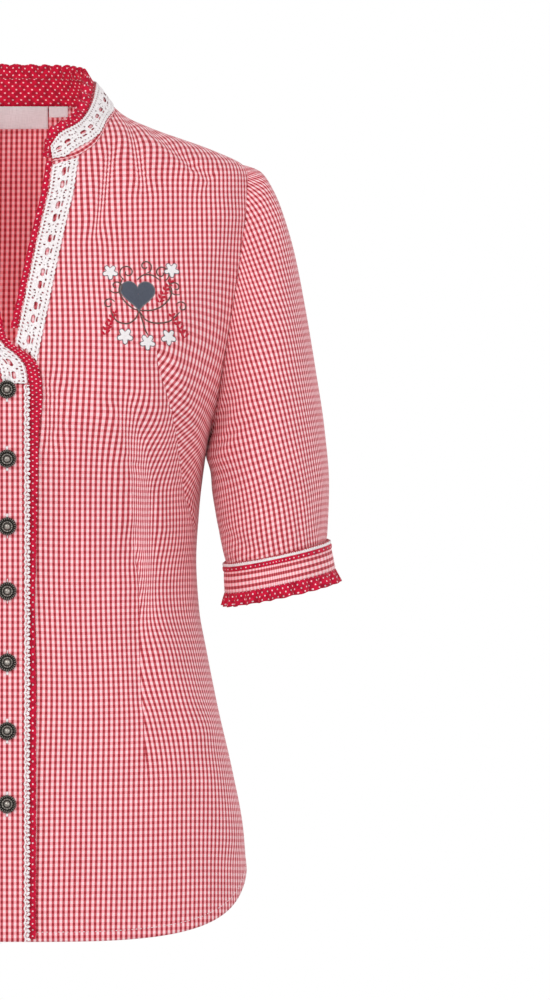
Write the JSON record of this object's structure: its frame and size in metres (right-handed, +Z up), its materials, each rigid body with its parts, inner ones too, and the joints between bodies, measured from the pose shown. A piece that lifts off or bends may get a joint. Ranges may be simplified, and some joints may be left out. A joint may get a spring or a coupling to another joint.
{
  "type": "dirndl blouse",
  "caption": "Checked cotton dirndl blouse with elbow sleeves, low stand collar, V neck, lace edging, dotted frills and a buttoned placket, worn shape with no wearer.",
  "frame": {"origin": "between the wearer's shoulders, on the centre line, level with the point where the shoulder seam meets the collar", "axes": "+Z up along the wearer's body, +X to the wearer's left, and the front faces -Y"},
  "size_m": [0.5122, 0.2388, 0.6758],
  "materials": {
    "checked_cotton": "yarn-dyed red and white gingham, 2 mm checks, soft and matte",
    "checked_cotton_trim": "the same gingham cut along its own grain for the collar, the placket and the cuffs",
    "dotted_cotton": "red cotton printed with small white dots, matte",
    "cotton_lace": "white cotton lace, matte",
    "antique_metal": "dark antique metal with worn bright edges",
    "woven_label": "plain white woven label"
  },
  "bodies": {
    "root": {"front_left": "checked_cotton", "front_right": "checked_cotton", "back": "checked_cotton", "sleeve_left": "checked_cotton", "sleeve_right": "checked_cotton", "collar_stand": "checked_cotton_trim", "placket": "checked_cotton_trim", "cuff_left": "checked_cotton_trim", "cuff_right": "checked_cotton_trim", "collar_facing": "dotted_cotton", "collar_frill": "dotted_cotton", "front_frill_left": "dotted_cotton", "front_frill_right": "dotted_cotton", "cuff_piping_left": "dotted_cotton", "cuff_piping_right": "dotted_cotton", "cuff_frill_left": "dotted_cotton", "cuff_frill_right": "dotted_cotton", "lace_left": "cotton_lace", "lace_right": "cotton_lace", "lace_collar": "cotton_lace", "placket_lace": "cotton_lace", "cuff_lace_left": "cotton_lace", "cuff_lace_right": "cotton_lace", "button_1": "antique_metal", "button_2": "antique_metal", "button_3": "antique_metal", "button_4": "antique_metal", "button_5": "antique_metal", "button_6": "antique_metal", "button_7": "antique_metal", "neck_label": "woven_label", "size_label": "woven_label"}
  },
  "joints": []
}
